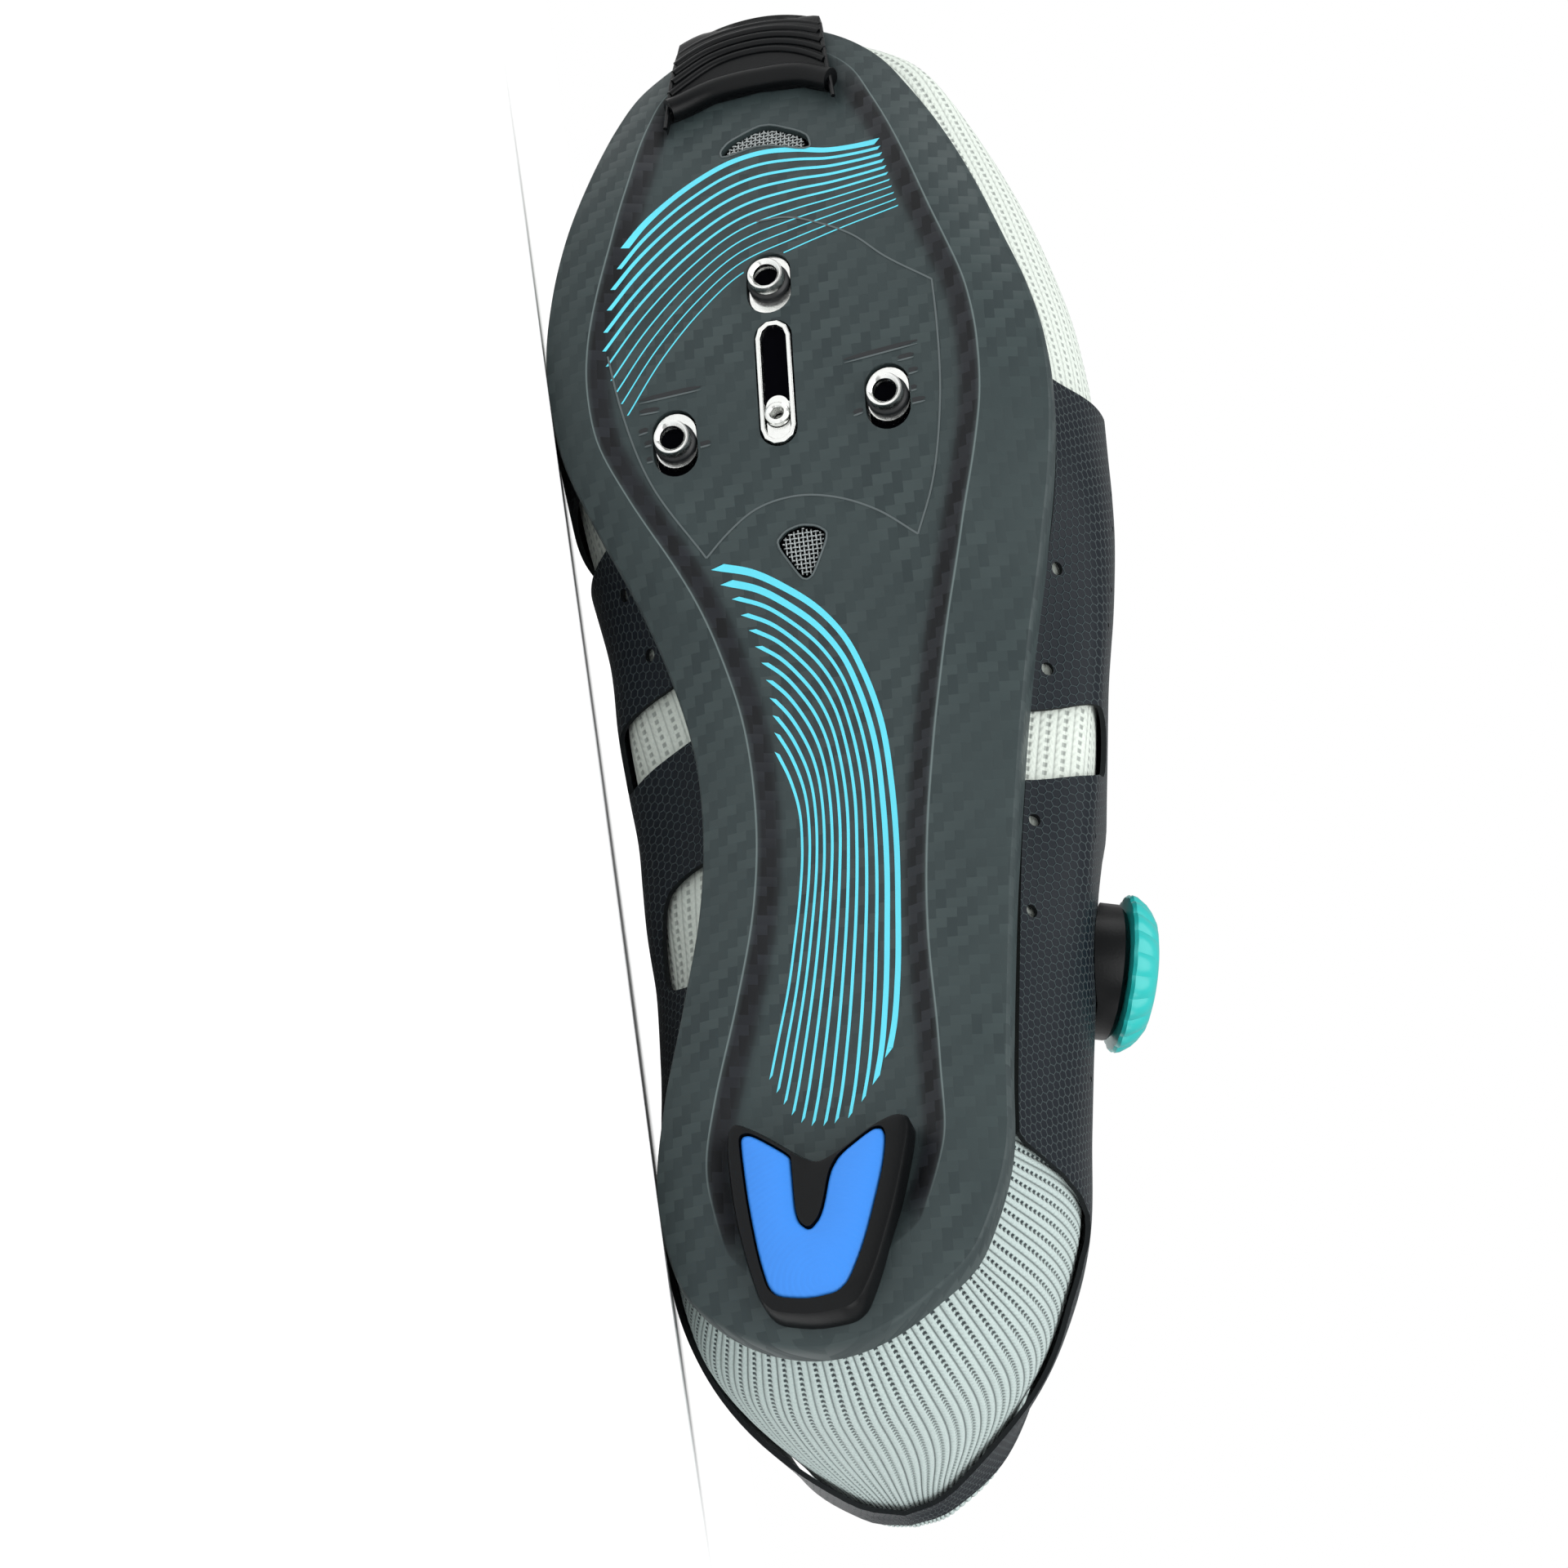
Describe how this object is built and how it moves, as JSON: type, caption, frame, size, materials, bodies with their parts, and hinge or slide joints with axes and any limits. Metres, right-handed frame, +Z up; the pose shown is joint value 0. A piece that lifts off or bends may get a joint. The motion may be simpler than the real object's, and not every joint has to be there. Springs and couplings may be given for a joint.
{
  "type": "cycling shoe",
  "caption": "Left road cycling shoe with stiff carbon sole, knitted upper, hexagon-textured wrap overlay, side lace dial and threaded cleat nuts, lying on its medial side.",
  "frame": {"origin": "centre of the bounding box in plan, at the floor that the shoe's medial side lies on", "axes": "-X from the heel towards the toe, -Y the way the sole faces, +Z up towards the lateral side with the dial"},
  "size_m": [0.296, 0.1042, 0.1062],
  "materials": {
    "carbon_weave": "satin",
    "black_rubber": "matte",
    "nickel_steel": "polished",
    "vent_mesh": "matte",
    "blue_pad": "satin",
    "pale_knit": "matte",
    "hexagon_wrap": "satin",
    "insole_foam": "matte",
    "teal_dial": "satin",
    "lace_cord": "satin"
  },
  "bodies": {
    "root": {"outsole": "carbon_weave", "toe_bumper": "black_rubber", "toe_vent_mesh": "vent_mesh", "waist_vent_mesh": "vent_mesh", "cleat_nut_front": "nickel_steel", "cleat_nut_medial": "nickel_steel", "cleat_nut_lateral": "nickel_steel", "centre_slot_liner": "nickel_steel", "centre_slot_nut": "nickel_steel", "heel_pad_frame": "black_rubber", "heel_pad_insert": "blue_pad", "insole": "insole_foam", "knit_upper": "pale_knit", "wrap_overlay": "hexagon_wrap", "dial_base": "black_rubber", "dial_knob": "teal_dial", "lace_guide_lateral_1": "black_rubber", "lace_guide_lateral_2": "black_rubber", "lace_guide_lateral_3": "black_rubber", "lace_guide_medial_1": "black_rubber", "lace_guide_medial_2": "black_rubber", "lace_guide_medial_3": "black_rubber", "lace": "lace_cord"}
  },
  "joints": []
}
